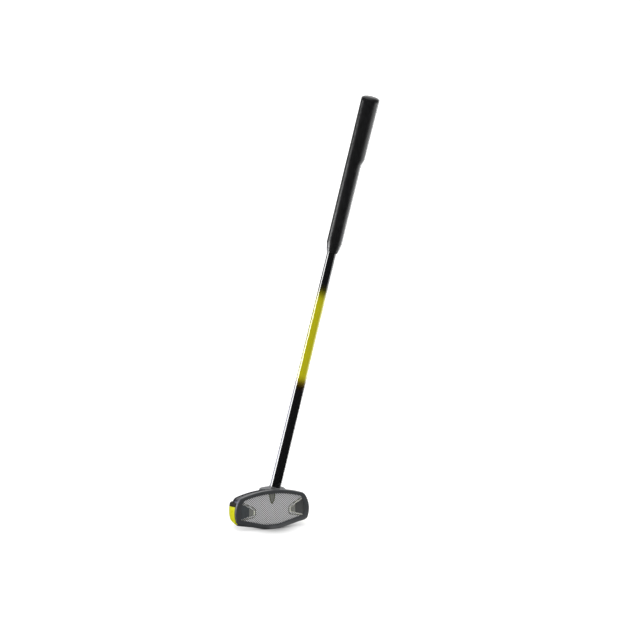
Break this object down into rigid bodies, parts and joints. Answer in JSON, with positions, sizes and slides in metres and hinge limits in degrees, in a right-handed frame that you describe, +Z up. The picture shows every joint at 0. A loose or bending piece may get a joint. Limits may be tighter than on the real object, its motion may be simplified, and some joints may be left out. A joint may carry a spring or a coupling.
{
  "type": "ground golf club",
  "caption": "Right-handed ground golf club: framed flat face on a rounded mallet head, leaning round shaft and a thick grip with a palm swell.",
  "frame": {"origin": "middle of the flat under the head, where the shaft's axis meets the sole", "axes": "+Z up with the sole flat on the ground, -Y the way the face looks, -X towards the toe; the shaft leans towards +X"},
  "size_m": [0.3136, 0.0707, 0.8544],
  "materials": {
    "maple": "sanded, unfinished",
    "cushion_rubber": "smooth",
    "woven_sheet": "woven wire",
    "mesh_plate": "clear-coated fine weave",
    "toe_panel": "dark blue-grey, satin",
    "heel_panel": "dark grey, satin",
    "pale_mark": "satin",
    "dark_mark": "satin",
    "frame_black": "satin with a fine grain",
    "crown_black": "satin gloss",
    "bumper_black": "satin",
    "shell_yellow": "gloss",
    "collar_grey": "satin",
    "bush_black": "smooth",
    "sole_black": "fine grain",
    "screw_steel": "plated",
    "weight_steel": "as cut",
    "shaft_paint": "gloss lacquer, black with one yellow band that fades at both ends",
    "plug_wood": "turned",
    "pin_steel": "ground",
    "tape_cloth": "woven tape",
    "grip_rubber": "satin, finely mottled",
    "cap_rubber": "satin"
  },
  "bodies": {
    "root": {"head_core": "maple", "face_cushion": "cushion_rubber", "face_mesh": "woven_sheet", "face_plate": "mesh_plate", "toe_panel": "toe_panel", "heel_panel": "heel_panel", "panel_outlines": "pale_mark", "sight_mark": "dark_mark", "face_frame": "frame_black", "crown_cover": "crown_black", "bumper": "bumper_black", "back_cover": "shell_yellow", "hosel_collar": "collar_grey", "hosel_bush": "bush_black", "sole_plate": "sole_black", "sole_screws": "screw_steel", "toe_weight": "weight_steel", "heel_weight": "weight_steel", "shaft": "shaft_paint", "shaft_plug": "plug_wood", "shaft_pin": "pin_steel", "grip_tape": "tape_cloth", "grip": "grip_rubber", "grip_cap": "cap_rubber", "butt_plug": "plug_wood"}
  },
  "joints": []
}
